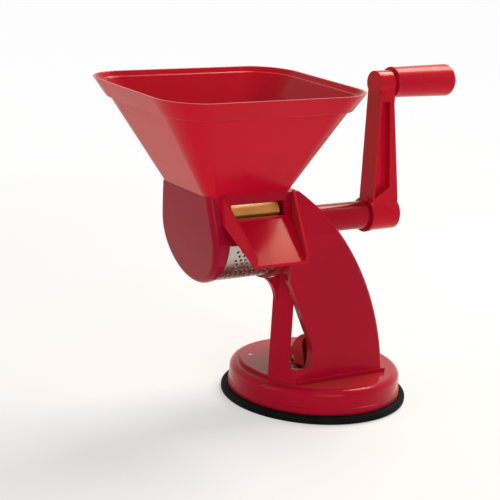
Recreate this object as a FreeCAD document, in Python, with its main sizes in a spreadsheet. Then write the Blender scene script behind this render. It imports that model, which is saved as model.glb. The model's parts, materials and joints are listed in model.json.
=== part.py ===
"""Hand cranked tomato strainer: hopper, drum with perforated screen, crank, column and suction foot.

Frame: millimetres, +X along the rotor axis towards the crank, +Y to the back, +Z up.
The origin is the centre of the suction cup's underside.
"""
import FreeCAD
import Part
import Sketcher
import math
import os
import re

doc = FreeCAD.newDocument("TomatoStrainer")
sheet = doc.addObject("Spreadsheet::Sheet", "Sizes")

DRIVING_SIZES = [
    ("axisHigh", 133.0, "rotor axis above the table"),
    ("gap", 0.3, "clearance between pieces of different bodies"),
    ("runFit", 0.05, "radial clearance of a running fit"),
    ("cupRad", 68.0, "suction cup radius"),
    ("cupTall", 5.6, "visible height of the rubber ring"),
    ("cupBossRad", 12.5, "rubber boss round the stud plate"),
    ("baseRad", 62.5, "round base radius"),
    ("baseTop", 23.5, "top face of the round base"),
    ("baseShoulder", 5.0, "rounding between the base's side and top"),
    ("baseWall", 3.0, "moulded wall of the base"),
    ("frontFace", 37.0, "half width of housing and column"),
    ("wall", 2.5, "moulded wall of housing and hopper"),
    ("columnWall", 3.0, "moulded wall of the column"),
    ("neckHigh", 163.5, "seam between hopper and housing"),
    ("neckHalf", 31.0, "half depth of the neck"),
    ("neckLeft", -120.5, "left end of the neck"),
    ("neckRight", -53.5, "right end of the neck"),
    ("drumRight", -54.0, "drum side of the end wall"),
    ("endWall", 3.5, "thickness of the end wall"),
    ("drumLeft", -104.0, "left end of screen and housing"),
    ("housingLean", 11.0, "how far the housing's left end leans out at the neck"),
    ("screenRad", 35.0, "outer radius of the screen"),
    ("screenThick", 0.8, "screen sheet"),
    ("holeRad", 1.0, "radius of a screen hole"),
    ("holePitch", 3.9, "distance between screen holes in a row"),
    ("capRad", 35.8, "outer radius of the end cap"),
    ("capFoot", -109.0, "left face of the end cap at its bottom"),
    ("journalRad", 5.0, "rotor's left journal"),
    ("slotLeft", -103.0, "left end of the waste slot"),
    ("slotRight", -60.0, "right end of the waste slot"),
    ("slotLow", 146.4, "lower edge of the waste slot"),
    ("slotHigh", 158.4, "upper edge of the waste slot"),
    ("spineRad", 196.6, "radius of the column's curved spine"),
    ("spineMidX", -161.0, "centre of that curve, along X"),
    ("spineMidHigh", 3.0, "centre of that curve, above the table"),
    ("footLeft", -36.0, "left end of the front wall's foot"),
    ("waistRad", 36.0, "curve of the front wall's left edge"),
    ("waistHigh", 62.0, "upper end of that curve"),
    ("postRad", 56.5, "outer radius of the left post, which follows the base's rim"),
    ("postThick", 3.6, "thickness of the left post"),
    ("postRight", -46.2, "right edge of the left post"),
    ("postBack", -17.5, "back edge of the left post"),
    ("sillHigh", 35.0, "sill of the window beside the post"),
    ("floorThick", 3.0, "foot flange of the column"),
    ("archHigh", 92.0, "top of the opening in the column's back"),
    ("archFlange", 8.0, "flange left beside that opening"),
    ("tubeRad", 10.2, "crank bearing tube"),
    ("tubeRight", 32.3, "outer end of the tube"),
    ("bushRad", 7.0, "outer radius of the shaft bushes"),
    ("bushLong", 12.0, "length of a shaft bush"),
    ("shaftRad", 4.0, "drive shaft radius"),
    ("driveSide", 6.0, "side of the shaft's square ends"),
    ("driveLong", 20.0, "length of the shaft's square ends"),
    ("washerThick", 1.2, "thrust washer and wear plate"),
    ("tipRad", 33.2, "sweep radius of the wipers"),
    ("hubRad", 9.0, "rotor hub radius"),
    ("wiperRoot", 4.0, "wiper thickness in the hub's slot"),
    ("wiperTip", 8.0, "wiper thickness at its rounded tip"),
    ("wiperDeep", 4.0, "depth of the hub's slots"),
    ("wiperAngle", 143.0, "where the first wiper points at rest"),
    ("crankThrow", 97.0, "from rotor axis to handle axis"),
    ("bossRad", 12.0, "crank boss at the shaft"),
    ("bossRight", 59.2, "outer end of the crank boss"),
    ("collarRad", 12.8, "ring at the inner end of the crank boss"),
    ("armLeft", 35.7, "left face of the crank arm"),
    ("armTopWide", 12.5, "arm width at the handle"),
    ("armFootWide", 23.0, "arm width at the shaft"),
    ("armHalf", 8.0, "half depth of the crank arm"),
    ("armRecess", 5.5, "depth of the arm's side channels"),
    ("armFlange", 1.6, "flange left of each channel"),
    ("eyeRad", 8.8, "boss at the handle"),
    ("eyeLeft", 34.7, "left end of that boss"),
    ("pinRad", 3.5, "handle pin"),
    ("gripLeft", 48.9, "inner end of the handle grip"),
    ("gripLong", 56.6, "length of the handle grip"),
    ("gripRad", 11.0, "radius of the handle grip"),
    ("rimHigh", 234.0, "top of the hopper"),
    ("rimLeft", -170.0, "left end of the hopper rim"),
    ("rimRight", -7.5, "right end of the hopper rim"),
    ("rimHalf", 66.0, "half depth of the hopper rim"),
    ("rimCorner", 30.0, "corner radius of the rim"),
    ("neckCorner", 7.0, "corner radius of the neck"),
    ("collarTall", 12.5, "height of the band under the rim"),
    ("collarStep", 2.0, "how far that band stands out"),
    ("spigotLong", 6.0, "hopper spigot inside the neck"),
    ("chuteLip", 65.0, "reach of the chute's lip in front of the axis"),
    ("chuteLipHigh", 124.5, "height of the chute's lip"),
    ("chuteTopHalf", 30.2, "half width of the chute at the housing"),
    ("chuteLipHalf", 21.2, "half width of the chute's lip"),
    ("chuteMid", -81.7, "middle of the chute, along X"),
    ("chuteWall", 2.0, "wall of the chute"),
    ("studRad", 4.5, "pull stud of the suction cup"),
    ("studLift", 2.3, "how far the lever lifts the stud"),
    ("plateRad", 9.6, "stud plate inside the rubber"),
    ("pivotRad", 2.5, "lever pin"),
    ("leverHalf", 20.5, "half width of the suction lever"),
    ("leverFront", 15.8, "lever's front edge from its pin"),
    ("leverBack", 3.3, "lever's back edge at its top"),
    ("leverRise", 19.3, "top of the lever above its pin"),
    ("camRad", 6.8, "cam round of the lever"),
    ("camShift", 2.8, "how far the cam's centre lies off the pin"),
    ("screwRad", 2.0, "small screws"),
]

for row, (alias, size, note) in enumerate(DRIVING_SIZES, start=1):
    sheet.set("A%d" % row, note)
    sheet.set("B%d" % row, repr(size))
    sheet.setAlias("B%d" % row, alias)
doc.recompute()

ALIASES = {alias for alias, size, note in DRIVING_SIZES}
NODES = []


def bound(text):
    """The formula as another object reads it, with the sheet named in front of each alias."""
    return re.sub(r"[A-Za-z]+", lambda word: "Sizes." + word.group() if word.group() in ALIASES else word.group(),
                  str(text))


def size_of(text):
    """The formula's value now."""
    return float(sheet.evalExpression(str(text)))


def keep(piece, node):
    """Marks an object as a sub-part that is written to its own file."""
    piece.Label = node
    NODES.append(piece)
    return piece


def spine_x(inset, height):
    """Formula for the spine curve's X at a height, with the curve moved inwards by inset."""
    return "spineMidX + sqrt((spineRad - (%s))^2 - (%s - spineMidHigh)^2)" % (inset, height)


def arc_between(start, end, radius, turn):
    """Arc from start to end; turn is 1 where its centre lies left of the way, -1 where right."""
    chord = end - start
    half = chord.Length / 2
    side = FreeCAD.Vector(-chord.y, chord.x, 0).normalize() * turn
    centre = (start + end) / 2 + side * math.sqrt(max(radius * radius - half * half, 0.0))
    first = math.atan2(start.y - centre.y, start.x - centre.x)
    last = math.atan2(end.y - centre.y, end.x - centre.x)
    if turn < 0:
        first, last = last, first
    return Part.ArcOfCircle(Part.Circle(centre, FreeCAD.Vector(0, 0, 1), radius), first, last)


def draw_outline(sketch, corners, bends=None):
    """Closed outline through corners given as formulas; bends holds (radius, turn) of curved edges."""
    bends = bends or {}
    points = [FreeCAD.Vector(size_of(x), size_of(y), 0) for x, y in corners]
    count = len(points)
    first_end = {}
    offset = sketch.GeometryCount
    for i in range(count):
        following = points[(i + 1) % count]
        if i in bends:
            radius, turn = bends[i]
            sketch.addGeometry(arc_between(points[i], following, size_of(radius), turn))
            first_end[i] = 1 if turn > 0 else 2
        else:
            sketch.addGeometry(Part.LineSegment(points[i], following))
            first_end[i] = 1
    for i in range(count):
        j = (i + 1) % count
        sketch.addConstraint(Sketcher.Constraint("Coincident", offset + i, 3 - first_end[i], offset + j, first_end[j]))
    for i, (x, y) in enumerate(corners):
        for kind, formula, number in (("DistanceX", x, points[i].x), ("DistanceY", y, points[i].y)):
            index = sketch.addConstraint(Sketcher.Constraint(kind, -1, 1, offset + i, first_end[i], number))
            sketch.setExpression("Constraints[%d]" % index, bound(formula))
    for i, (radius, turn) in bends.items():
        index = sketch.addConstraint(Sketcher.Constraint("Radius", offset + i, size_of(radius)))
        sketch.setExpression("Constraints[%d]" % index, bound(radius))


TURNS = {
    "XY": FreeCAD.Rotation(),
    "XZ": FreeCAD.Rotation(FreeCAD.Vector(1, 0, 0), 90),
    "YZ": FreeCAD.Rotation(FreeCAD.Vector(0, 1, 0), FreeCAD.Vector(0, 0, 1), FreeCAD.Vector(1, 0, 0), "ZXY"),
}


def prism(name, plane, corners, low, high, bends=None, roll="0"):
    """Outline in a plane, extruded across it from low to high; roll turns a YZ outline about X."""
    sketch = doc.addObject("Sketcher::SketchObject", name + "_outline")
    draw_outline(sketch, corners, bends)
    axis = {"XY": "z", "XZ": "y", "YZ": "x"}[plane]
    start = {"XY": low, "XZ": high, "YZ": low}[plane]
    sketch.Placement = FreeCAD.Placement(FreeCAD.Vector(), TURNS[plane])
    if roll != "0":
        high_axis = size_of("axisHigh")
        about = FreeCAD.Rotation(FreeCAD.Vector(1, 0, 0), size_of(roll))
        base = FreeCAD.Vector(0, 0, high_axis) - about.multVec(FreeCAD.Vector(0, 0, high_axis))
        sketch.Placement = FreeCAD.Placement(base, about.multiply(TURNS[plane]))
    sketch.setExpression("Placement.Base." + axis, bound(start))
    solid = doc.addObject("Part::Extrusion", name)
    solid.Base = sketch
    solid.DirMode = "Normal"
    solid.Solid = True
    solid.setExpression("LengthFwd", bound("(%s) - (%s)" % (high, low)))
    return solid


def rod(name, axis, radius, low, high, centre):
    """Cylinder along an axis from low to high; centre holds the two other coordinates in X, Y, Z order."""
    solid = doc.addObject("Part::Cylinder", name)
    turn = {
        "x": FreeCAD.Rotation(FreeCAD.Vector(0, 1, 0), 90),
        "y": FreeCAD.Rotation(FreeCAD.Vector(1, 0, 0), -90),
        "z": FreeCAD.Rotation(),
    }[axis]
    solid.Placement = FreeCAD.Placement(FreeCAD.Vector(), turn)
    others = [letter for letter in "xyz" if letter != axis]
    solid.setExpression("Radius", bound(radius))
    solid.setExpression("Height", bound("(%s) - (%s)" % (high, low)))
    solid.setExpression("Placement.Base." + axis, bound(low))
    for letter, place in zip(others, centre):
        solid.setExpression("Placement.Base." + letter, bound(place))
    return solid


def axle(name, radius, low, high):
    """Cylinder on the rotor axis."""
    return rod(name, "x", radius, low, high, ("0", "axisHigh"))


def block(name, lows, highs):
    """Box between two corners given as formulas."""
    solid = doc.addObject("Part::Box", name)
    for side, letter, low, high in zip(("Length", "Width", "Height"), "xyz", lows, highs):
        solid.setExpression(side, bound("(%s) - (%s)" % (high, low)))
        solid.setExpression("Placement.Base." + letter, bound(low))
    return solid


def fuse(name, *pieces):
    solid = doc.addObject("Part::MultiFuse", name)
    solid.Shapes = list(pieces)
    solid.Refine = True
    return solid


def cut(name, base, *tools):
    solid = doc.addObject("Part::Cut", name)
    solid.Base = base
    solid.Tool = tools[0] if len(tools) == 1 else fuse(name + "_tools", *tools)
    solid.Refine = True
    return solid


def common(name, first, second):
    solid = doc.addObject("Part::Common", name)
    solid.Base = first
    solid.Tool = second
    return solid


def group(name, *pieces):
    solid = doc.addObject("Part::Compound", name)
    solid.Links = list(pieces)
    return solid


def turned(name, corners, bends=None, about="z"):
    """Outline of radius and height turned about Z, or of X and radius turned about the rotor axis."""
    sketch = doc.addObject("Sketcher::SketchObject", name + "_outline")
    draw_outline(sketch, corners, bends)
    sketch.Placement = FreeCAD.Placement(FreeCAD.Vector(), TURNS["XZ"])
    solid = doc.addObject("Part::Revolution", name)
    solid.Source = sketch
    solid.Axis = FreeCAD.Vector(0, 0, 1) if about == "z" else FreeCAD.Vector(1, 0, 0)
    if about != "z":
        sketch.setExpression("Placement.Base.z", bound(about))
        solid.setExpression("Base.z", bound(about))
    solid.Angle = 360
    solid.Solid = True
    return solid


def rounded_edges(name, base, radius, chosen):
    """Rounds the edges of base for which chosen(edge) is true."""
    doc.recompute()
    solid = doc.addObject("Part::Fillet", name)
    solid.Base = base
    size = size_of(radius)
    solid.Edges = [(i, size, size) for i, edge in enumerate(base.Shape.Edges, start=1) if chosen(edge)]
    return solid


def rounded_loft(name, sections):
    """Loft through rounded rectangles: each section is left, right, half depth, corner radius, height."""
    sketches = []
    for i, (left, right, half, corner, height) in enumerate(sections):
        sketch = doc.addObject("Sketcher::SketchObject", "%s_section_%d" % (name, i))
        low_x, high_x = "(%s)" % left, "(%s)" % right
        half, corner = "(%s)" % half, "(%s)" % corner
        corners = [
            (low_x + " + " + corner, "-" + half), (high_x + " - " + corner, "-" + half),
            (high_x, "-" + half + " + " + corner), (high_x, half + " - " + corner),
            (high_x + " - " + corner, half), (low_x + " + " + corner, half),
            (low_x, half + " - " + corner), (low_x, "-" + half + " + " + corner),
        ]
        draw_outline(sketch, corners, {1: (corner, 1), 3: (corner, 1), 5: (corner, 1), 7: (corner, 1)})
        sketch.setExpression("Placement.Base.z", bound(height))
        sketches.append(sketch)
    solid = doc.addObject("Part::Loft", name)
    solid.Sections = sketches
    solid.Solid = True
    solid.Ruled = True
    return solid


def make_base_shell():
    """Round base moulding, open underneath, with screw holes and the stud's hole in its top."""
    shell = turned("base_round", [
        ("studRad + gap", "baseTop"), ("baseRad - baseShoulder", "baseTop"),
        ("baseRad", "baseTop - baseShoulder"), ("baseRad", "cupTall + 4.8"), ("baseRad + 0.6", "cupTall + 4.4"),
        ("baseRad + 0.6", "cupTall + gap/2"),
        ("baseRad - baseWall", "cupTall + gap/2"), ("baseRad - baseWall", "baseTop - baseShoulder"),
        ("baseRad - baseShoulder", "baseTop - baseWall"), ("studRad + gap", "baseTop - baseWall"),
    ], {1: ("baseShoulder", -1), 7: ("baseShoulder - baseWall", 1)})
    holes = [rod("base_hole_%d" % i, "z", "screwRad + 0.2", "baseTop - baseWall - 1", "baseTop + 1", place)
             for i, place in enumerate(SCREW_PLACES)]
    return keep(cut("base_shell", shell, *holes), "base_shell")


SCREW_PLACES = [("-39", "-27"), ("-39", "27"), ("28.5", "-30"), ("28.5", "30")]


def make_base_screws():
    """Four pan head screws that hold the column on the base from underneath."""
    screws = []
    for i, place in enumerate(SCREW_PLACES):
        head = rod("screw_head_%d" % i, "z", "2 * screwRad", "baseTop - baseWall - 2.4", "baseTop - baseWall", place)
        shank = rod("screw_shank_%d" % i, "z", "screwRad - 0.02", "baseTop - baseWall - 1",
                    "baseTop + floorThick - 0.3", place)
        screws.append(fuse("screw_%d" % i, head, shank))
    return keep(group("base_screws", *screws), "base_screws")


def make_suction_cup():
    """Black rubber disc, flat on the table, with a boss round the stud's plate."""
    cup = turned("suction_cup", [
        ("0", "0"), ("cupRad - 1.2", "0"),
        ("cupRad", "1.2"), ("cupRad", "cupTall - 1.4"), ("cupRad - 1.4", "cupTall"),
        ("cupBossRad", "cupTall"), ("cupBossRad", "cupTall + studLift + 4.4"),
        ("studRad + 0.1", "cupTall + studLift + 4.4"), ("studRad + 0.1", "cupTall + studLift + 2.3"),
        ("plateRad + 0.1", "cupTall + studLift + 2.3"),
        ("plateRad + 0.1", "cupTall - 1.1"), ("0", "cupTall - 1.1"),
    ])
    return keep(cup, "suction_cup")


PIVOT_HIGH = "baseTop + washerThick + gap + camRad - camShift"


def make_pull_stud():
    """Steel stud with a plate in the rubber below and an eye for the lever pin above."""
    plate = rod("stud_plate", "z", "plateRad", "cupTall - 1", "cupTall + 2", ("0", "0"))
    shank = rod("stud_shank", "z", "studRad", "cupTall - 1", PIVOT_HIGH + " + 5.5", ("0", "0"))
    eye = rod("stud_eye", "x", "pivotRad + 0.02", "-10", "10", ("0", PIVOT_HIGH))
    return keep(cut("pull_stud", fuse("stud_round", plate, shank), eye), "pull_stud")


def make_lever_pin():
    pin = rod("lever_pin", "x", "pivotRad", "-leverHalf + 0.5", "leverHalf - 0.5", ("0", PIVOT_HIGH))
    return keep(pin, "lever_pin")


def make_wear_plate():
    """Steel plate that the lever's cam turns on."""
    plate = block("wear_blank", ("1.5 - leverHalf", "1.6 - camRad", "baseTop"),
                  ("leverHalf - 1.5", "camRad - 1.6", "baseTop + washerThick"))
    hole = rod("wear_hole", "z", "studRad + gap", "baseTop - 1", "baseTop + 5", ("0", "0"))
    return keep(cut("wear_plate", plate, hole), "wear_plate")


def make_suction_lever():
    """Red paddle with an eccentric cam at its foot and a slot for the stud."""
    pivot = PIVOT_HIGH
    paddle = prism("lever_paddle", "YZ", [
        ("-leverFront", pivot + " - 2"), ("0", pivot + " - 2"), ("0.7 * camRad", pivot + " + camShift"),
        ("-leverBack", pivot + " + leverRise"), ("-leverBack - 5.6", pivot + " + leverRise"),
    ], "-leverHalf", "leverHalf")
    cam = rod("lever_cam", "x", "camRad", "-leverHalf", "leverHalf", ("0", pivot + " + camShift"))
    slot = block("lever_slot", ("-studRad - 0.5", "-studRad - 3.1", pivot + " - 20"),
                 ("studRad + 0.5", "30", pivot + " + 7.6"))
    hole = rod("lever_hole", "x", "pivotRad + runFit", "-40", "40", ("0", pivot))
    front_view = prism("lever_view", "XZ", [
        ("-leverHalf", "baseTop"), ("leverHalf", "baseTop"), ("leverHalf", pivot + " + leverRise - 6"),
        ("leverHalf - 5", pivot + " + leverRise"), ("-leverHalf + 5", pivot + " + leverRise"),
        ("-leverHalf", pivot + " + leverRise - 6"),
    ], "-40", "40", {2: ("7", 1), 4: ("7", 1)})
    solid = cut("lever_cut", fuse("lever_round", paddle, cam), slot, hole)
    return keep(common("suction_lever", solid, front_view), "suction_lever")


def make_column():
    """Front and back wall with the curved spine between them, open to the left."""
    outer = prism("column_outer", "XZ", [
        ("drumRight", "axisHigh - 32"), ("drumRight", "neckHigh"), (spine_x("0", "neckHigh"), "neckHigh"),
        (spine_x("0", "baseTop"), "baseTop"), ("footLeft", "baseTop"), ("footLeft + 0.5", "waistHigh"),
    ], "-frontFace", "frontFace", {2: ("spineRad", -1), 4: ("waistRad", 1)})
    spine = rounded_edges("column_spine", outer, "columnWall - 0.4", lambda edge: is_spine_edge(edge))
    ceiling = "neckHigh - columnWall"
    hollow = prism("column_hollow", "XZ", [
        ("drumRight + endWall", ceiling), (spine_x("columnWall", ceiling), ceiling),
        (spine_x("columnWall", "baseTop - 1"), "baseTop - 1"), ("footLeft - 40", "baseTop - 1"),
        ("footLeft - 40", "axisHigh - 28"), ("drumRight + endWall", "axisHigh - 28"),
    ], "-frontFace", "frontFace", {1: ("spineRad - columnWall", -1)})
    between = prism("column_between", "YZ", [
        ("columnWall - frontFace", "baseTop - 2"), ("frontFace - columnWall", "baseTop - 2"),
        ("frontFace - columnWall", "axisHigh"), ("neckHalf - columnWall", "neckHigh"),
        ("columnWall - neckHalf", "neckHigh"), ("columnWall - frontFace", "axisHigh"),
    ], "footLeft - 50", "baseRad")
    inner = common("column_inner", hollow, between)
    arch_top = "archHigh"
    arch_inset = "columnWall + archFlange"
    arch = prism("column_arch", "XZ", [
        ("footLeft - 40", arch_top), (spine_x(arch_inset, arch_top), arch_top),
        (spine_x(arch_inset, "baseTop + floorThick"), "baseTop + floorThick"),
        ("footLeft - 40", "baseTop + floorThick"),
    ], "frontFace - columnWall - 2", "frontFace + 2", {1: ("spineRad - columnWall - archFlange", -1)})
    leans = []
    for side in ("-", ""):
        leans.append(prism("column_lean_" + ("front" if side else "back"), "YZ", [
            (side + "frontFace", "axisHigh"), (side + "neckHalf", "neckHigh"), (side + "neckHalf", "neckHigh + 5"),
            (side + "(frontFace + 9)", "neckHigh + 5"), (side + "(frontFace + 9)", "axisHigh"),
        ], "drumRight - 5", "drumRight + 60"))
    edge = prism("column_edge", "XZ", [
        ("drumRight", "axisHigh - 32"), ("footLeft + 0.5", "waistHigh"), ("footLeft", "baseTop"),
        ("footLeft + 3", "baseTop"), ("footLeft + 3.5", "waistHigh"), ("drumRight + 3.6", "axisHigh - 32"),
    ], "-frontFace", "6.6 - frontFace", {1: ("waistRad", -1), 3: ("waistRad", 1)})
    return fuse("column_walls", cut("column", spine, inner, arch, *leans), edge)


def make_post():
    """Left post: a band along the base's rim with a sill beside it and a gusset under the drum."""
    ring = cut("post_ring", rod("post_round", "z", "postRad", "baseTop", "axisHigh - 22", ("0", "0")),
               rod("post_bore", "z", "postRad - postThick", "baseTop - 1", "axisHigh - 20", ("0", "0")))
    view = prism("post_view", "XZ", [
        ("-postRad - 2", "baseTop"), ("footLeft", "baseTop"), ("footLeft", "sillHigh"), ("postRight + 3", "sillHigh"),
        ("postRight", "sillHigh + 3"), ("postRight", "axisHigh - 22"), ("-postRad - 2", "axisHigh - 22"),
    ], "-frontFace", "postBack", {3: ("3", -1)})
    sill = block("post_sill", ("-sqrt(postRad^2 - frontFace^2)", "-frontFace", "baseTop"),
                 ("footLeft + 6", "columnWall - frontFace", "sillHigh"))
    gusset = prism("post_gusset", "XZ", [
        ("drumRight + 1.5", "axisHigh - 50"), ("drumRight + 1.5", "axisHigh - 33.5"),
        ("drumRight - 8.5", "axisHigh - 33.5"), ("drumRight + 0.6", "axisHigh - 50"),
    ], "postBack - 3.5", "postBack", {2: ("24", -1)})
    return fuse("left_post", common("post_band", ring, view), sill, gusset)


def is_spine_edge(edge):
    return edge.Curve.TypeId == "Part::GeomCircle" and abs(edge.Curve.Radius - size_of("spineRad")) < 0.01


def make_main_body():
    """Drum housing, end wall, bearing tube, column and left leg, moulded in one."""
    housing = prism("housing_outer", "YZ", [
        ("-frontFace", "axisHigh - 2"), ("-frontFace", "axisHigh"), ("-neckHalf", "neckHigh"),
        ("neckHalf", "neckHigh"), ("frontFace", "axisHigh"), ("frontFace", "axisHigh - 2"),
    ], "drumLeft - housingLean - 2", "drumRight + endWall")
    end_disc = cut("end_disc", axle("end_round", "frontFace + 0.4", "drumRight", "drumRight + endWall"),
                   block("end_top", ("drumRight - 4", "-50", "axisHigh"), ("drumRight + 9", "50", "axisHigh + 50")))
    ledge = cut("screen_ledge", axle("ledge_round", "frontFace + 0.4", "drumRight - 3", "drumRight + 0.5"),
                axle("ledge_bore", "screenRad + gap/2", "drumRight - 4", "drumRight + 1"),
                block("ledge_top", ("drumRight - 4", "-50", "axisHigh - 2"), ("drumRight + 1", "50", "axisHigh + 50")))
    tube = axle("tube_round", "tubeRad", "drumRight + 1", "tubeRight")
    post = make_post()
    floor = cut("foot_flange", common("flange_round",
                                      rod("flange_disc", "z", "baseRad - baseShoulder - 2", "baseTop",
                                          "baseTop + floorThick", ("0", "0")),
                                      block("flange_box", ("footLeft - 19", "-frontFace - 1.2", "baseTop - 1"),
                                            (spine_x("-1.2", "baseTop"), "frontFace + 1.2",
                                             "baseTop + floorThick + 1"))),
                block("flange_window", ("-leverHalf - 4", "-24", "baseTop - 2"),
                      ("leverHalf + 2", "24", "baseTop + floorThick + 2")))
    solid = fuse("body_walls", housing, make_column(), end_disc, ledge, tube, post, floor)
    bore = axle("tube_bore", "bushRad + 0.02", "drumRight - 5", "tubeRight + 1")
    inside = prism("housing_inside", "YZ", [
        ("wall - frontFace", "axisHigh - 10"), ("wall - frontFace", "axisHigh"), ("wall - neckHalf", "neckHigh"),
        ("wall - neckHalf", "neckHigh + 5"), ("neckHalf - wall", "neckHigh + 5"), ("neckHalf - wall", "neckHigh"),
        ("frontFace - wall", "axisHigh"), ("frontFace - wall", "axisHigh - 10"),
    ], "drumLeft - housingLean - 5", "drumRight")
    lean = prism("housing_lean", "XZ", [
        ("drumLeft", "axisHigh - 3"), ("drumLeft", "axisHigh - 2"), ("drumLeft - housingLean", "neckHigh"),
        ("drumLeft - housingLean", "neckHigh + 5"), ("drumLeft - housingLean - 20", "neckHigh + 5"),
        ("drumLeft - housingLean - 20", "axisHigh - 3"),
    ], "-frontFace - 5", "frontFace + 5")
    slot = block("waste_slot", ("slotLeft", "-frontFace - 5", "slotLow"), ("slotRight", "-20", "slotHigh"))
    pilots = [rod("pilot_%d" % i, "z", "screwRad", "baseTop - 1", "baseTop + floorThick + 1", place)
              for i, place in enumerate(SCREW_PLACES)]
    return keep(cut("main_body", solid, bore, inside, lean, slot, *pilots), "main_body")


CAP_SEAM = "drumLeft - gap/2"


def cap_profile(name, inset, low, high):
    """U shaped outline of the end cap, extruded along X."""
    radius, neck = "(capRad - (%s))" % inset, "(neckHalf - (%s))" % inset
    rise = "(neckHigh - axisHigh)"
    far = "(%s^2 + %s^2)" % (neck, rise)
    reach = "%s * sqrt(%s - %s^2)" % (radius, far, radius)
    out = "(%s^2 * %s + %s * %s) / %s" % (radius, neck, reach, rise, far)
    up = "axisHigh + (%s^2 * %s - %s * %s) / %s" % (radius, rise, reach, neck, far)
    return prism(name, "YZ", [
        ("-" + out, up), ("0", "axisHigh - " + radius), (out, up), (neck, "neckHigh"), ("-" + neck, "neckHigh"),
    ], low, high, {0: (radius, 1), 1: (radius, 1)})


def cap_side(name, inset, right):
    """Side view of the end cap: a leaning face that turns upright towards its foot."""
    bottom = "axisHigh - capRad - 1"
    return prism(name, "XZ", [
        ("neckLeft + (%s)" % inset, "neckHigh"), ("capFoot + (%s)" % inset, bottom),
        (right, bottom), (right, "axisHigh - 2"), (right + " - housingLean", "neckHigh"),
    ], "-capRad - 1", "capRad + 1", {0: ("4 * axisHigh", 1)})


def make_end_cap():
    """Scoop shaped end wall of the drum with a blind bearing inside and a ring that carries the screen."""
    outer = common("cap_outer", cap_profile("cap_block", "0", "neckLeft - 5", "drumLeft + 10"),
                   cap_side("cap_view", "0", CAP_SEAM))
    rounded = rounded_edges("cap_rounded", outer, "4", lambda edge: is_cap_rim(edge))
    inner = common("cap_inner", cap_profile("cap_hollow", "wall", "neckLeft - 5", "drumLeft + 12"),
                   cap_side("cap_hollow_view", "wall", CAP_SEAM + " + 5"))
    boss = axle("cap_boss", "journalRad + 4", "neckLeft - 10", "drumLeft - 0.5")
    hollow = cut("cap_space", inner, boss)
    top_open = block("cap_top", ("neckLeft + 2 * wall", "-neckHalf + wall", "neckHigh - 6"),
                     ("drumLeft", "neckHalf - wall", "neckHigh + 5"))
    ring = cut("cap_ring", axle("ring_round", "screenRad - screenThick - gap/2", "drumLeft - 3", "drumLeft + 3"),
               axle("ring_bore", "screenRad - screenThick - gap/2 - wall", "drumLeft - 5", "drumLeft + 5"),
               block("ring_top", ("drumLeft - 6", "-50", "axisHigh - 12"), ("drumLeft + 6", "50", "axisHigh + 50")))
    web = cut("cap_web", axle("web_round", "capRad - wall/2", "drumLeft - 3", "drumLeft - gap/2"),
              axle("web_bore", "screenRad - screenThick - gap/2 - wall", "drumLeft - 5", "drumLeft + 5"),
              block("web_top", ("drumLeft - 6", "-50", "axisHigh - 12"), ("drumLeft + 6", "50", "axisHigh + 50")))
    nose = axle("cap_nose", "journalRad + 4", "drumLeft - 1", "drumLeft + 1.4")
    pocket = axle("cap_pocket", "journalRad + 1.5", "drumLeft - 3.5", "drumLeft + 3")
    shell = fuse("cap_walls", cut("cap_shell", rounded, hollow, top_open), ring, web, nose)
    return keep(cut("end_cap", shell, pocket), "end_cap")


def is_cap_rim(edge):
    """Edges of the leaning left face, apart from the straight one at the neck."""
    middle = edge.CenterOfMass
    foot_high = size_of("axisHigh - capRad - 1")
    lean = size_of("capFoot - neckLeft") / (size_of("neckHigh") - foot_high)
    face_x = size_of("neckLeft") + (size_of("neckHigh") - middle.z) * lean
    return middle.x < face_x + 1.5 and edge.BoundBox.ZMin < size_of("neckHigh") - 1


def make_cap_bush():
    bush = cut("cap_bush", axle("cap_bush_round", "journalRad + 1.48", "drumLeft - 3.4", "drumLeft + 1.4"),
               axle("cap_bush_bore", "journalRad + runFit", "drumLeft - 2.6", "drumLeft + 3"))
    return keep(bush, "cap_bush")


def make_screen():
    """Half round sheet of stainless steel with staggered rows of round holes."""
    shell = cut("screen_shell", axle("screen_round", "screenRad", "drumLeft", "drumRight - gap"),
                axle("screen_bore", "screenRad - screenThick", "drumLeft - 1", "drumRight + 1"),
                block("screen_top", ("drumLeft - 2", "-60", "axisHigh - 2.2"),
                      ("drumRight + 2", "60", "axisHigh + 60")))
    doc.recompute()
    radius, pitch = size_of("screenRad"), size_of("holePitch")
    left, right = size_of("drumLeft + 6"), size_of("drumRight - 6")
    centre = FreeCAD.Vector(0, 0, size_of("axisHigh"))
    rows = int(math.pi * radius * 0.97 / (pitch * 0.87)) // 2
    columns = int((right - left) / pitch)
    drills = []
    for row in range(-rows, rows + 1):
        angle = math.radians(270) + row * pitch * 0.87 / radius
        out = FreeCAD.Vector(0, math.cos(angle), math.sin(angle))
        for column in range(columns + 1 - row % 2):
            x = (left + right - columns * pitch) / 2 + (column + 0.5 * (row % 2)) * pitch
            foot = centre + out * (radius - 3) + FreeCAD.Vector(x, 0, 0)
            drills.append(Part.makeCylinder(size_of("holeRad"), 6, foot, out))
    screen = doc.addObject("Part::Feature", "screen")
    screen.Shape = shell.Shape.cut(Part.makeCompound(drills)).Solids[0]
    return keep(screen, "strainer_screen")


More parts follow.
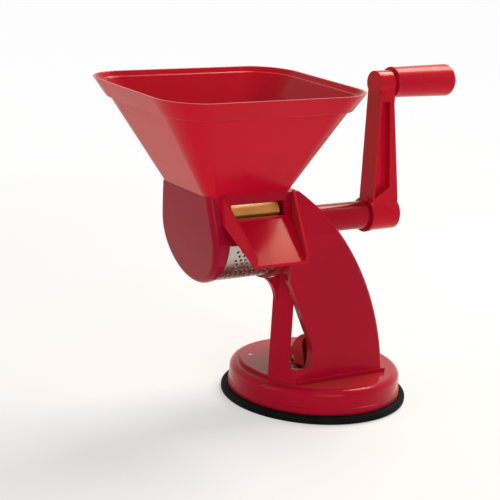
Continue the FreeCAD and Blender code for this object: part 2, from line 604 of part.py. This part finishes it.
def make_rotor_hub():
    """Hub with a journal on its left, four wiper slots and a square socket for the shaft."""
    hub = axle("hub_round", "hubRad", "drumLeft + 3.6", "drumRight - 3")
    journal = axle("hub_journal", "journalRad", "drumLeft - 2.3", "drumLeft + 4")
    socket = block("hub_socket", ("drumRight - 3 - driveLong", "-driveSide/2 - 0.03", "axisHigh - driveSide/2 - 0.03"),
                   ("drumRight", "driveSide/2 + 0.03", "axisHigh + driveSide/2 + 0.03"))
    slots = [prism("hub_slot_%d" % i, "YZ", [
        ("hubRad - wiperDeep", "axisHigh - wiperRoot/2"), ("hubRad + 2", "axisHigh - wiperRoot/2"),
        ("hubRad + 2", "axisHigh + wiperRoot/2"), ("hubRad - wiperDeep", "axisHigh + wiperRoot/2"),
    ], "drumLeft + 5", "drumRight - 6.1", roll="wiperAngle + %d" % (90 * i)) for i in range(4)]
    return keep(cut("rotor_hub", fuse("hub_solid", hub, journal), socket, *slots), "rotor_hub")


def make_wipers():
    """Four wipers with round tips, each pushed into its slot of the hub."""
    wipers = []
    for i in range(4):
        wipers.append(prism("wiper_%d" % i, "YZ", [
            ("hubRad - wiperDeep + 0.1", "axisHigh - wiperRoot/2 + 0.05"),
            ("hubRad + 1", "axisHigh - wiperRoot/2 + 0.05"),
            ("tipRad - 0.6 * wiperTip", "axisHigh - wiperTip/2"), ("tipRad - 0.1 * wiperTip", "axisHigh - wiperTip/2"),
            ("tipRad - 0.1 * wiperTip", "axisHigh + wiperTip/2"), ("tipRad - 0.6 * wiperTip", "axisHigh + wiperTip/2"),
            ("hubRad + 1", "axisHigh + wiperRoot/2 - 0.05"),
            ("hubRad - wiperDeep + 0.1", "axisHigh + wiperRoot/2 - 0.05"),
        ], "drumLeft + 5.1", "drumRight - 6.2", {3: ("1.4 * wiperTip", 1)}, roll="wiperAngle + %d" % (90 * i)))
    return keep(group("wiper_blades", *wipers), "wiper_blades")


def make_shaft():
    """Steel shaft with a square end in the hub, another in the crank and a threaded hole for its screw."""
    round_part = axle("shaft_round", "shaftRad", "drumRight - 2.5", "tubeRight + 1.4")
    inner = block("shaft_inner", ("drumRight - 2.5 - driveLong", "-driveSide/2", "axisHigh - driveSide/2"),
                  ("drumRight - 2", "driveSide/2", "axisHigh + driveSide/2"))
    outer = block("shaft_outer", ("tubeRight + 1.38", "-driveSide/2", "axisHigh - driveSide/2"),
                  ("tubeRight + 0.5 + driveLong", "driveSide/2", "axisHigh + driveSide/2"))
    hole = axle("shaft_thread", "screwRad", "tubeRight + driveLong - 14", "tubeRight + 3 + driveLong")
    return keep(cut("drive_shaft", fuse("shaft_solid", round_part, inner, outer), hole), "drive_shaft")


def make_ring(node, low, high, outer="bushRad", inner="shaftRad + runFit"):
    """Ring on the rotor axis, such as a bush, seal or washer."""
    ring = cut(node, axle(node + "_round", outer, low, high), axle(node + "_bore", inner, low + " - 1", high + " + 1"))
    return keep(ring, node)


def make_crank_arm():
    """Crank with a boss on the shaft, a tapered arm with side channels and an eye for the handle pin."""
    inner_end = "tubeRight + washerThick + gap"
    top = "axisHigh + crankThrow"
    boss = axle("crank_boss", "bossRad", inner_end, "bossRight")
    collar = axle("crank_collar", "collarRad", inner_end, inner_end + " + 3")
    eye = rod("crank_eye", "x", "eyeRad", "eyeLeft", "armLeft + armTopWide", ("0", top))
    arm = prism("crank_beam", "XZ", [
        ("armLeft", "axisHigh"), ("armLeft + armFootWide", "axisHigh"),
        ("armLeft + armFootWide", "axisHigh + bossRad"), ("armLeft + armTopWide", top + " - gripRad - 3"),
        ("armLeft + armTopWide", top), ("armLeft", top),
    ], "-armHalf", "armHalf")
    channels = []
    for side, low, high in (("front", "-armHalf - 1", "armRecess - armHalf"), ("back", "armHalf - armRecess", "armHalf + 1")):
        channels.append(prism("crank_channel_" + side, "XZ", [
            ("armLeft + armFlange", "axisHigh + bossRad + 1"),
            ("armLeft + armFootWide - 8.5", "axisHigh + bossRad + 9"),
            ("armLeft + armTopWide - 4", top + " - eyeRad - 4"), ("armLeft + armFlange", top + " - eyeRad - 4"),
        ], low, high))
    socket = block("crank_socket", ("tubeRight", "-driveSide/2 - 0.03", "axisHigh - driveSide/2 - 0.03"),
                   ("bossRight - 6", "driveSide/2 + 0.03", "axisHigh + driveSide/2 + 0.03"))
    sink = axle("crank_sink", "3.1 * screwRad", "bossRight - 4.6", "bossRight + 1")
    through = axle("crank_screw_hole", "screwRad + 0.3", "bossRight - 9", "bossRight")
    pin_hole = rod("crank_pin_hole", "x", "pinRad + 0.01", "eyeLeft + 2", "armLeft + 40", ("0", top))
    solid = cut("crank_cut", fuse("crank_solid", boss, collar, eye, arm), socket, sink, through, pin_hole,
                *channels)
    return keep(solid, "crank_arm")


def make_crank_screw():
    """Screw that holds the crank on the shaft, its head sunk in the boss."""
    head = axle("crank_screw_head", "2.7 * screwRad", "bossRight - 4.5", "bossRight - 1.5")
    shank = axle("crank_screw_shank", "screwRad - 0.02", "tubeRight + driveLong - 12", "bossRight - 4")
    return keep(fuse("crank_screw", head, shank), "crank_screw")


def make_handle_pin():
    """Steel pin pressed into the crank's eye, with a groove for the grip's clip."""
    top = "axisHigh + crankThrow"
    pin = rod("pin_round", "x", "pinRad", "eyeLeft + 2.2", "gripLeft + gripLong - 10", ("0", top))
    groove = cut("pin_groove", rod("groove_round", "x", "pinRad + 1", "gripLeft + gripLong - 15",
                                   "gripLeft + gripLong - 13.6", ("0", top)),
                 rod("groove_core", "x", "pinRad - 0.7", "gripLeft + gripLong - 16",
                     "gripLeft + gripLong - 12", ("0", top)))
    return keep(cut("handle_pin", pin, groove), "handle_pin")


def make_grip_clip():
    """Steel ring in the pin's groove that keeps the grip on."""
    top = "axisHigh + crankThrow"
    clip = cut("grip_clip", rod("clip_round", "x", "pinRad + 1.6", "gripLeft + gripLong - 14.9",
                                "gripLeft + gripLong - 13.7", ("0", top)),
               rod("clip_bore", "x", "pinRad - 0.65", "gripLeft + gripLong - 16", "gripLeft + gripLong - 12", ("0", top)))
    return keep(clip, "grip_clip")


def make_grip():
    """Handle grip that turns on its pin: a flange, a slightly swelling barrel and a domed end."""
    end = "gripLeft + gripLong"
    grip = turned("handle_grip", [
        ("gripLeft", "pinRad + runFit"), ("gripLeft", "gripRad + 0.2"), ("gripLeft + 1.6", "gripRad + 0.2"),
        ("gripLeft + 2.2", "gripRad - 0.1"), (end + " - 6", "gripRad + 0.7"), (end, "gripRad - 6.3"), (end, "0"),
        (end + " - 9", "0"), (end + " - 9", "pinRad + runFit"), (end + " - 12.4", "pinRad + runFit"),
        (end + " - 12.4", "pinRad + 2.2"), (end + " - 16.4", "pinRad + 2.2"), (end + " - 16.4", "pinRad + runFit"),
    ], {4: ("gripRad - 1.5", -1)}, about="axisHigh + crankThrow")
    return keep(grip, "handle_grip")


def make_hopper():
    """Square funnel with a band round its rim and a spigot that drops into the neck."""
    slope = "(neckLeft - rimLeft) / (rimHigh - neckHigh)"
    right_slope = "(rimRight - neckRight) / (rimHigh - neckHigh)"
    deep_slope = "(rimHalf - neckHalf) / (rimHigh - neckHigh)"
    band = [("rimLeft + collarTall * " + slope, "rimRight - collarTall * " + right_slope,
             "rimHalf - collarTall * " + deep_slope, "rimCorner - 4", "rimHigh - collarTall"),
            ("rimLeft", "rimRight", "rimHalf", "rimCorner", "rimHigh")]
    funnel_left = "rimLeft + collarStep + collarTall * " + slope
    funnel_right = "rimRight - collarStep - collarTall * " + right_slope
    funnel_half = "rimHalf - collarStep - collarTall * " + deep_slope
    outer = rounded_loft("hopper_outer", [
        ("neckLeft", "neckRight", "neckHalf", "neckCorner", "neckHigh"),
        (funnel_left, funnel_right, funnel_half, "rimCorner - 5", "rimHigh - collarTall + 0.01"),
    ])
    collar = rounded_loft("hopper_band", band)
    inner = rounded_loft("hopper_inner", [
        ("neckLeft + wall", "neckRight - wall", "neckHalf - wall", "neckCorner - wall", "neckHigh - 0.01"),
        ("rimLeft + 1.3 * wall", "rimRight - 1.3 * wall", "rimHalf - 1.3 * wall", "rimCorner - wall", "rimHigh + 0.01"),
    ])
    lip = rounded_loft("hopper_lip", [
        ("rimLeft + 1.3 * wall - 1.2 + 3.5 * " + slope, "rimRight - 1.3 * wall + 1.2 - 3.5 * " + right_slope,
         "rimHalf - 1.3 * wall + 1.2 - 3.5 * " + deep_slope, "rimCorner - wall - 1", "rimHigh - 3.5"),
        ("rimLeft + 1.3 * wall - 1.2", "rimRight - 1.3 * wall + 1.2", "rimHalf - 1.3 * wall + 1.2",
         "rimCorner - wall", "rimHigh + 0.01"),
    ])
    spigot_edge = "wall + gap"
    spigot = rounded_loft("hopper_spigot", [
        ("neckLeft + wall + 3.5", "neckRight - 2.4", "neckHalf - (%s)" % spigot_edge, "neckCorner - wall",
         "neckHigh - spigotLong"),
        ("neckLeft + wall + 3.5", "neckRight - 2.4", "neckHalf - (%s)" % spigot_edge, "neckCorner - wall",
         "neckHigh + 1"),
    ])
    spigot_bore = rounded_loft("spigot_bore", [
        ("neckLeft + wall + 5.5", "neckRight - 4.4", "neckHalf - 2 - (%s)" % spigot_edge, "2.2",
         "neckHigh - spigotLong - 1"),
        ("neckLeft + wall + 5.5", "neckRight - 4.4", "neckHalf - 2 - (%s)" % spigot_edge, "2.2", "neckHigh + 4"),
    ])
    shell = cut("hopper_shell", fuse("hopper_solid", outer, collar), inner, lip)
    return keep(cut("hopper", fuse("hopper_all", shell, spigot), spigot_bore), "hopper")


def chute_section(name, reach, floor_top, rise, half, bore):
    """U shaped section of the chute at a distance in front of the axis."""
    sketch = doc.addObject("Sketcher::SketchObject", name)
    left, right = "chuteMid - (%s)" % half, "chuteMid + (%s)" % half
    if bore:
        corners = [(left + " + chuteWall", floor_top), (right + " - chuteWall", floor_top),
                   (right + " - chuteWall", floor_top + " + 60"), (left + " + chuteWall", floor_top + " + 60")]
    else:
        corners = [(left, floor_top + " - chuteWall"), (right, floor_top + " - chuteWall"),
                   (right, floor_top + " + " + rise), (left, floor_top + " + " + rise)]
    draw_outline(sketch, corners)
    sketch.Placement = FreeCAD.Placement(FreeCAD.Vector(), TURNS["XZ"])
    sketch.setExpression("Placement.Base.y", bound("-(%s)" % reach))
    return sketch


def make_chute():
    """Tapered tray that clips into the waste slot and leads skins and seeds away."""
    fall = "(slotLow + 1.9 - chuteLipHigh) / (chuteLip - neckHalf - 3.5)"
    lofts = []
    for bore in (False, True):
        kind = "bore" if bore else "tray"
        ends = [("neckHalf - 1", "slotLow + 1.9 + 4.5 * " + fall, "16", "chuteTopHalf"),
                ("chuteLip + 0.5" if bore else "chuteLip", "chuteLipHigh", "5.5", "chuteLipHalf")]
        if bore:
            ends[1] = ("chuteLip + 0.5", "chuteLipHigh - 0.5 * " + fall, "5.5", "chuteLipHalf")
        loft = doc.addObject("Part::Loft", "chute_" + kind)
        loft.Sections = [chute_section("chute_%s_%d" % (kind, i), *end, bore) for i, end in enumerate(ends)]
        loft.Solid = True
        loft.Ruled = True
        lofts.append(loft)
    behind = prism("chute_behind", "YZ", [
        ("-frontFace - gap/2", "axisHigh - 30"), ("-frontFace - gap/2", "axisHigh"),
        ("-neckHalf - gap/2", "neckHigh"), ("-neckHalf - gap - 10", "neckHigh + 18"),
        ("0", "neckHigh + 18"), ("0", "axisHigh - 30"),
    ], "drumLeft - 40", "drumRight + 40")
    tongue = block("chute_tongue", ("slotLeft + 4", "-frontFace + 1", "slotLow + 0.1"),
                   ("slotRight - 4", "1.2 - tipRad", "slotLow + chuteWall"))
    tray = cut("chute_open", lofts[0], lofts[1], behind)
    return keep(fuse("waste_chute", tray, tongue), "waste_chute")


def write_parts():
    """Checks every object, then writes each sub-part to its own file."""
    doc.recompute()
    failed = [item.Name for item in doc.Objects if "Invalid" in item.State or "Error" in item.State]
    if failed:
        raise RuntimeError("failed: " + ", ".join(failed))
    os.makedirs("parts", exist_ok=True)
    for piece in NODES:
        shape = piece.Shape
        if shape.isNull() or not shape.isValid() or shape.Volume <= 0 or not shape.Solids:
            raise RuntimeError("%s has no valid solid" % piece.Label)
        shape.exportStep("parts/%s.step" % piece.Label)
        box = shape.BoundBox
        print("%-16s solids %d  volume %9.1f  x %.1f..%.1f  y %.1f..%.1f  z %.1f..%.1f" % (
            piece.Label, len(shape.Solids), shape.Volume, box.XMin, box.XMax, box.YMin, box.YMax, box.ZMin, box.ZMax))


make_base_shell()
make_base_screws()
make_suction_cup()
make_pull_stud()
make_lever_pin()
make_wear_plate()
make_suction_lever()
make_main_body()
make_end_cap()
make_cap_bush()
make_screen()
make_rotor_hub()
make_wipers()
make_shaft()
make_ring("shaft_seal", "drumRight", "drumRight + 2.4")
make_ring("inner_bush", "drumRight + 2.6", "drumRight + 2.6 + bushLong")
make_ring("outer_bush", "tubeRight - bushLong", "tubeRight")
make_ring("thrust_washer", "tubeRight + gap/2", "tubeRight + gap/2 + washerThick")
make_crank_arm()
make_crank_screw()
make_handle_pin()
make_grip_clip()
make_grip()
make_hopper()
make_chute()
write_parts()
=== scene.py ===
"""Looks of the hand cranked tomato strainer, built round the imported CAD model. Metres, Z up."""
import json

import bpy
from math import cos, radians, sin
from mathutils import Matrix, Vector


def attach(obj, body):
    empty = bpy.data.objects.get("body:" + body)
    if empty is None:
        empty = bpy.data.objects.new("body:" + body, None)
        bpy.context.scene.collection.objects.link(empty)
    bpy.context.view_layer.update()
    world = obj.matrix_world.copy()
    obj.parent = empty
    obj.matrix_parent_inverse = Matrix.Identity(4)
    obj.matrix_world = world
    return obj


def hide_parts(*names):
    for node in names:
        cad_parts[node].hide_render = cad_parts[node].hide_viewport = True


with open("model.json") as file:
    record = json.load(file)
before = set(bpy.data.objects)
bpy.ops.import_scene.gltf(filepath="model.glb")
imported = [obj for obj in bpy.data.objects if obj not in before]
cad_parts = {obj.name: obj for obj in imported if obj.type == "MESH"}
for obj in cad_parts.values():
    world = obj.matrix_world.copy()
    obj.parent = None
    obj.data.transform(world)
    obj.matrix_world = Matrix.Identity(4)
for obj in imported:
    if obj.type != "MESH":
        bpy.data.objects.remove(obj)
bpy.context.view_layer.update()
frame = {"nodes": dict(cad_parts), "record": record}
cad = frame["nodes"]


# The suction cup is a thick disc of black rubber, pressed in one piece. Its rim stands out
# under the base as a ring, and its middle holds the plate of the pull stud.

SAME_POINT = 1e-6
FLAT_ENOUGH = radians(0.6)
SHARP_EDGE = radians(28)
EDGE_SEGMENTS = 3


def add_node(tree, kind, **sockets):
    """A shader node with its input values set by name."""
    node = tree.nodes.new("ShaderNode" + kind)
    for socket, value in sockets.items():
        node.inputs[socket.replace("_", " ")].default_value = value
    return node


def start_material(name, **sockets):
    """A material with its principled shader and Object coordinates, for the finish to build on."""
    material = bpy.data.materials.new(name)
    material.use_nodes = True
    tree = material.node_tree
    shader = tree.nodes["Principled BSDF"]
    for socket, value in sockets.items():
        shader.inputs[socket.replace("_", " ")].default_value = value
    place = tree.nodes.new("ShaderNodeTexCoord").outputs["Object"]
    return material, tree, shader, place


def vary_colour(tree, shader, place, dark, light, scale):
    """Slow drift of colour between a darker and a lighter batch of the same stuff."""
    noise = add_node(tree, "TexNoise", Scale=scale, Detail=4.0)
    ramp = tree.nodes.new("ShaderNodeValToRGB")
    low, high = ramp.color_ramp.elements
    low.position, low.color = 0.35, (*dark, 1)
    high.position, high.color = 0.65, (*light, 1)
    tree.links.new(place, noise.inputs["Vector"])
    tree.links.new(noise.outputs["Fac"], ramp.inputs["Fac"])
    tree.links.new(ramp.outputs["Color"], shader.inputs["Base Color"])


def vary_roughness(tree, shader, place, smooth, rough, scale):
    """Handling marks: patches that are a little duller than the rest."""
    noise = add_node(tree, "TexNoise", Scale=scale, Detail=6.0, Roughness=0.6)
    spread = add_node(tree, "MapRange", From_Min=0.3, From_Max=0.7, To_Min=smooth, To_Max=rough)
    tree.links.new(place, noise.inputs["Vector"])
    tree.links.new(noise.outputs["Fac"], spread.inputs["Value"])
    tree.links.new(spread.outputs["Result"], shader.inputs["Roughness"])


def add_grain(tree, shader, place, scale, strength, depth):
    """Fine unevenness of the surface, as bump."""
    noise = add_node(tree, "TexNoise", Scale=scale, Detail=3.0)
    bump = add_node(tree, "Bump", Strength=strength, Distance=depth)
    tree.links.new(place, noise.inputs["Vector"])
    tree.links.new(noise.outputs["Fac"], bump.inputs["Height"])
    tree.links.new(bump.outputs["Normal"], shader.inputs["Normal"])


def pick(piece):
    """Makes a piece the only selected and active one."""
    bpy.ops.object.select_all(action="DESELECT")
    piece.select_set(True)
    bpy.context.view_layer.objects.active = piece


def body_of_node(node):
    """Name of the CAD body that holds a node."""
    bodies = frame["record"]["behaviour"]["bodies"]
    return next(body for body, nodes in bodies.items() if node in nodes)


def moulding(node, material, edge=0.0, smooth=30):
    """A finished copy of a CAD node: joined faces, broken edges and smooth curves."""
    piece = bpy.data.objects.new(node + "_finished", cad[node].data.copy())
    bpy.context.collection.objects.link(piece)
    pick(piece)
    bpy.ops.object.mode_set(mode="EDIT")
    bpy.ops.mesh.select_all(action="SELECT")
    bpy.ops.mesh.remove_doubles(threshold=SAME_POINT)
    bpy.ops.mesh.dissolve_limited(angle_limit=FLAT_ENOUGH)
    bpy.ops.object.mode_set(mode="OBJECT")
    if edge:
        bevel = piece.modifiers.new("edges", "BEVEL")
        bevel.width, bevel.segments = edge, EDGE_SEGMENTS
        bevel.limit_method, bevel.angle_limit = "ANGLE", SHARP_EDGE
        bevel.use_clamp_overlap = True
        bpy.ops.object.modifier_apply(modifier=bevel.name)
    bpy.ops.object.shade_smooth_by_angle(angle=radians(smooth))
    flat = piece.modifiers.new("normals", "WEIGHTED_NORMAL")
    flat.keep_sharp = True
    bpy.ops.object.modifier_apply(modifier=flat.name)
    piece.data.materials.clear()
    piece.data.materials.append(material)
    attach(piece, body_of_node(node))
    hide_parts(node)


rubber, tree, shader, place = start_material("cup_rubber", IOR=1.4, Specular_IOR_Level=0.05)
vary_colour(tree, shader, place, dark=(0.004, 0.004, 0.004), light=(0.008, 0.0078, 0.0075), scale=40)
vary_roughness(tree, shader, place, smooth=0.5, rough=0.75, scale=60)
add_grain(tree, shader, place, scale=900, strength=0.25, depth=0.0003)
moulding("suction_cup", rubber, edge=0.0006)


# The base is a round cap moulded in the same glossy red as everything above it. A rounded
# shoulder runs round its top, and the column is screwed to it from underneath.

def red_plastic(name, colour, smooth=0.13, rough=0.22):
    """Glossy moulded red: slow colour drift, faint flow ripple and soft handling marks."""
    material, tree, shader, place = start_material(name, IOR=1.4, Specular_IOR_Level=0.2)
    shader.inputs["Specular Tint"].default_value = (1.0, 0.5, 0.24, 1)
    shader.inputs["Sheen Weight"].default_value = 0.5
    shader.inputs["Sheen Roughness"].default_value = 0.3
    shader.inputs["Sheen Tint"].default_value = (1.0, 0.5, 0.2, 1)
    darker = tuple(channel * 0.93 for channel in colour)
    lighter = tuple(channel * 1.06 for channel in colour)
    vary_colour(tree, shader, place, darker, lighter, scale=14)
    vary_roughness(tree, shader, place, smooth, rough, scale=35)
    add_grain(tree, shader, place, scale=120, strength=0.05, depth=0.0004)
    return material


base_red = red_plastic("base_red", (0.36, 0.0015, 0.02))
moulding("base_shell", base_red, edge=0.0007)


# Four pan head screws come up through the base and hold the column's flange. They are made
# of plain zinc coated steel.

def plain_steel(name, colour, rough, streak=(1, 1, 12)):
    """Bare steel with fine drawn or rolled lines."""
    material, tree, shader, place = start_material(name, Metallic=1.0)
    stretch = tree.nodes.new("ShaderNodeMapping")
    stretch.inputs["Scale"].default_value = streak
    tree.links.new(place, stretch.inputs["Vector"])
    drawn = stretch.outputs["Vector"]
    darker = tuple(channel * 0.85 for channel in colour)
    vary_colour(tree, shader, drawn, darker, colour, scale=160)
    vary_roughness(tree, shader, drawn, rough * 0.8, rough * 1.3, scale=220)
    add_grain(tree, shader, drawn, scale=400, strength=0.12, depth=0.0001)
    return material


screw_steel = plain_steel("screw_steel", (0.56, 0.55, 0.52), rough=0.32)
moulding("base_screws", screw_steel, edge=0.0003)


# The body is the largest moulding: the drum's housing, the end wall, the bearing tube, the
# hollow column with its curved spine, and the left post come out of one mould.

body_red = red_plastic("body_red", (0.35, 0.0015, 0.02))
moulding("main_body", body_red, edge=0.0008)


# The pull stud is turned from steel. Its plate sits in the rubber, and its eye takes the pin
# of the lever, which turns on a steel wear plate and draws the cup up.

stud_steel = plain_steel("stud_steel", (0.58, 0.57, 0.55), rough=0.26, streak=(1, 1, 20))
pin_steel = plain_steel("pin_steel", (0.6, 0.6, 0.58), rough=0.2, streak=(20, 1, 1))
plate_steel = plain_steel("plate_steel", (0.62, 0.61, 0.6), rough=0.3, streak=(12, 1, 1))
moulding("pull_stud", stud_steel, edge=0.0003)
moulding("lever_pin", pin_steel, edge=0.0003)
moulding("wear_plate", plate_steel, edge=0.0002)


# The lever is a thick red paddle. It is a little duller than the body, because fingers push
# it back and forth every time the foot is fixed.

# The paddle's red is lighter and more orange than the body's. This is painted light, standing in for
# the lamp light on its face in the column's window.
lever_lit_red = red_plastic("lever_lit_red", (0.46, 0.02, 0.025), smooth=0.24, rough=0.36)
moulding("suction_lever", lever_lit_red, edge=0.0009)


# The shaft is drawn steel with a square at each end. It runs in two white bushes in the
# tube, with a rubber seal against the drum.

white_plastic, tree, shader, place = start_material("bearing_white", IOR=1.5, Specular_IOR_Level=0.4)
vary_colour(tree, shader, place, dark=(0.66, 0.64, 0.58), light=(0.76, 0.74, 0.68), scale=60)
vary_roughness(tree, shader, place, smooth=0.35, rough=0.5, scale=90)
add_grain(tree, shader, place, scale=500, strength=0.1, depth=0.0001)
shaft_steel = plain_steel("shaft_steel", (0.6, 0.59, 0.57), rough=0.22, streak=(20, 1, 1))
moulding("drive_shaft", shaft_steel, edge=0.0003)
for ring in ("inner_bush", "outer_bush", "thrust_washer", "cap_bush"):
    moulding(ring, white_plastic, edge=0.0002)
moulding("shaft_seal", rubber, edge=0.0002)


# The rotor is a white hub with four amber wipers pushed into its slots. The wipers have
# thick round tips, which sweep along the screen.

amber, tree, shader, place = start_material("wiper_amber", IOR=1.5, Specular_IOR_Level=0.5)
shader.inputs["Subsurface Weight"].default_value = 0.08
shader.inputs["Subsurface Radius"].default_value = (0.004, 0.002, 0.001)
vary_colour(tree, shader, place, dark=(0.5, 0.2, 0.028), light=(0.64, 0.29, 0.05), scale=45)
vary_roughness(tree, shader, place, smooth=0.25, rough=0.4, scale=80)
add_grain(tree, shader, place, scale=260, strength=0.08, depth=0.0003)
moulding("rotor_hub", white_plastic, edge=0.0004)
moulding("wiper_blades", amber, edge=0.0006)


# The crank is moulded in the same red. Channels run down both of its faces between two
# flanges, and a screw sunk in its boss holds it on the shaft.

crank_red = red_plastic("crank_red", (0.47, 0.003, 0.02))
moulding("crank_arm", crank_red, edge=0.0008)
moulding("crank_screw", screw_steel, edge=0.0003)


# The grip is a red moulding, a little duller where a hand holds it. It turns on a steel pin
# that is pressed into the crank's eye and held by a clip.

grip_red = red_plastic("grip_red", (0.46, 0.004, 0.022), smooth=0.18, rough=0.3)
moulding("handle_pin", pin_steel, edge=0.0002)
moulding("grip_clip", pin_steel, edge=0.0001)
moulding("handle_grip", grip_red, edge=0.0006)


# The end cap is a scoop shaped red moulding. It holds the left bush and carries the screen,
# a half round sheet of stainless steel with punched holes.

# The cap's red is darker than the body's. This is painted shade, standing in for the shadow that the
# overhanging hopper casts on it.
cap_shaded_red = red_plastic("cap_shaded_red", (0.27, 0.0015, 0.02))
moulding("end_cap", cap_shaded_red, edge=0.0006)
screen_steel = plain_steel("screen_steel", (0.5, 0.48, 0.44), rough=0.28, streak=(10, 1, 1))
moulding("strainer_screen", screen_steel, smooth=25)


# The hopper is a large square funnel with round corners, moulded in red. A band stands out
# round its rim, and a spigot at its foot sits in the drum's neck.

hopper_red = red_plastic("hopper_red", (0.47, 0.003, 0.02))
moulding("hopper", hopper_red, edge=0.0009)


# The waste chute is a tapered red tray. It clips into the slot in the drum's front with a
# tongue and carries the waste away.

chute_red = red_plastic("chute_red", (0.43, 0.002, 0.02))
moulding("waste_chute", chute_red, edge=0.0007)


# The floor is a pale plane. Seen by the camera or in a reflection it turns white with the
# distance from the object, and near the object it keeps the shadow.

def seen_rays(tree):
    """1 for rays that show the surroundings: straight, in a reflection or through glass."""
    path = tree.nodes.new("ShaderNodeLightPath")
    seen = path.outputs["Is Camera Ray"]
    for kind in ("Is Glossy Ray", "Is Transmission Ray"):
        either = add_node(tree, "Math")
        either.operation = "MAXIMUM"
        tree.links.new(seen, either.inputs[0])
        tree.links.new(path.outputs[kind], either.inputs[1])
        seen = either.outputs["Value"]
    return seen


bpy.ops.mesh.primitive_plane_add(size=30, location=(0, 0, 0))
floor = bpy.context.object
floor.name = "floor"
pale, tree, shader, place = start_material("floor_pale", Roughness=0.6, Specular_IOR_Level=0.2)
shader.inputs["Base Color"].default_value = (0.86, 0.855, 0.85, 1)
away = add_node(tree, "VectorMath")
away.operation = "LENGTH"
tree.links.new(place, away.inputs[0])
fade = add_node(tree, "MapRange", From_Min=0.2, From_Max=0.8, To_Min=0.45, To_Max=0.97)
tree.links.new(away.outputs["Value"], fade.inputs["Value"])
glow = add_node(tree, "Math")
glow.operation = "MULTIPLY"
tree.links.new(seen_rays(tree), glow.inputs[0])
tree.links.new(fade.outputs["Result"], glow.inputs[1])
white = add_node(tree, "Emission", Color=(1, 1, 1, 1), Strength=1.0)
mix = tree.nodes.new("ShaderNodeMixShader")
tree.links.new(glow.outputs["Value"], mix.inputs[0])
tree.links.new(shader.outputs["BSDF"], mix.inputs[1])
tree.links.new(white.outputs["Emission"], mix.inputs[2])
tree.links.new(mix.outputs["Shader"], tree.nodes["Material Output"].inputs["Surface"])
floor.data.materials.append(pale)


# The surround is white where it is seen and dim as a light. Three soft boxes light the
# object: one above and behind it on the right, one in front and a weak one on the left.

world = bpy.data.worlds.new("surround")
bpy.context.scene.world = world
world.use_nodes = True
tree = world.node_tree
background = tree.nodes["Background"]
strength = add_node(tree, "MapRange", From_Min=0, From_Max=1, To_Min=0.35, To_Max=1.0)
tree.links.new(seen_rays(tree), strength.inputs["Value"])
tree.links.new(strength.outputs["Result"], background.inputs["Strength"])
background.inputs["Color"].default_value = (1, 1, 1, 1)


def soft_lamp(name, place, target, width, height, power, colour):
    """A rectangular soft box that points at a target."""
    lamp_data = bpy.data.lights.new(name, "AREA")
    lamp_data.shape, lamp_data.size, lamp_data.size_y = "RECTANGLE", width, height
    lamp_data.energy, lamp_data.color = power, colour
    lamp = bpy.data.objects.new(name, lamp_data)
    bpy.context.collection.objects.link(lamp)
    lamp.location = place
    lamp.rotation_euler = (Vector(target) - Vector(place)).to_track_quat("-Z", "Y").to_euler()


soft_lamp("key", (0.72, 0.22, 1.15), target=(0, 0, 0.15),
          width=0.7, height=0.4, power=16, colour=(1, 0.92, 0.8))
soft_lamp("fill", (-0.3, -1.3, 0.5), target=(0, 0, 0.12),
          width=0.8, height=0.8, power=7.5, colour=(1, 0.98, 0.96))
soft_lamp("side", (-1.2, 0.1, 0.4), target=(-0.08, 0, 0.18),
          width=0.6, height=0.6, power=3.0, colour=(1, 0.97, 0.93))


# The camera stands where the photograph's did, with the same small roll. Its angles and
# distance are aimed at the origin, and the two shifts move it sideways and up from there.

AZIMUTH, ELEVATION, ROLL = radians(-34.24), radians(14.99), radians(3.66)
DISTANCE, SHIFT_RIGHT, SHIFT_UP = 1.18026, -0.05272, 0.10211
FOCAL_PIXELS, FRAME_PIXELS, SENSOR_MM = 1590.94, 500, 36
back = Vector((sin(AZIMUTH) * cos(ELEVATION), -cos(AZIMUTH) * cos(ELEVATION), sin(ELEVATION)))
level_right = Vector((cos(AZIMUTH), sin(AZIMUTH), 0))
level_up = back.cross(level_right)
right = cos(ROLL) * level_right + sin(ROLL) * level_up
up = -sin(ROLL) * level_right + cos(ROLL) * level_up
spot = back * DISTANCE + level_right * SHIFT_RIGHT + level_up * SHIFT_UP
camera_data = bpy.data.cameras.new("camera")
camera = bpy.data.objects.new("camera", camera_data)
bpy.context.collection.objects.link(camera)
turn = Matrix((right, up, back)).transposed().to_4x4()
camera.matrix_world = Matrix.Translation(spot) @ turn
camera_data.sensor_width = SENSOR_MM
camera_data.lens = FOCAL_PIXELS * SENSOR_MM / FRAME_PIXELS
bpy.context.scene.camera = camera
bpy.context.scene.view_settings.view_transform = "Standard"
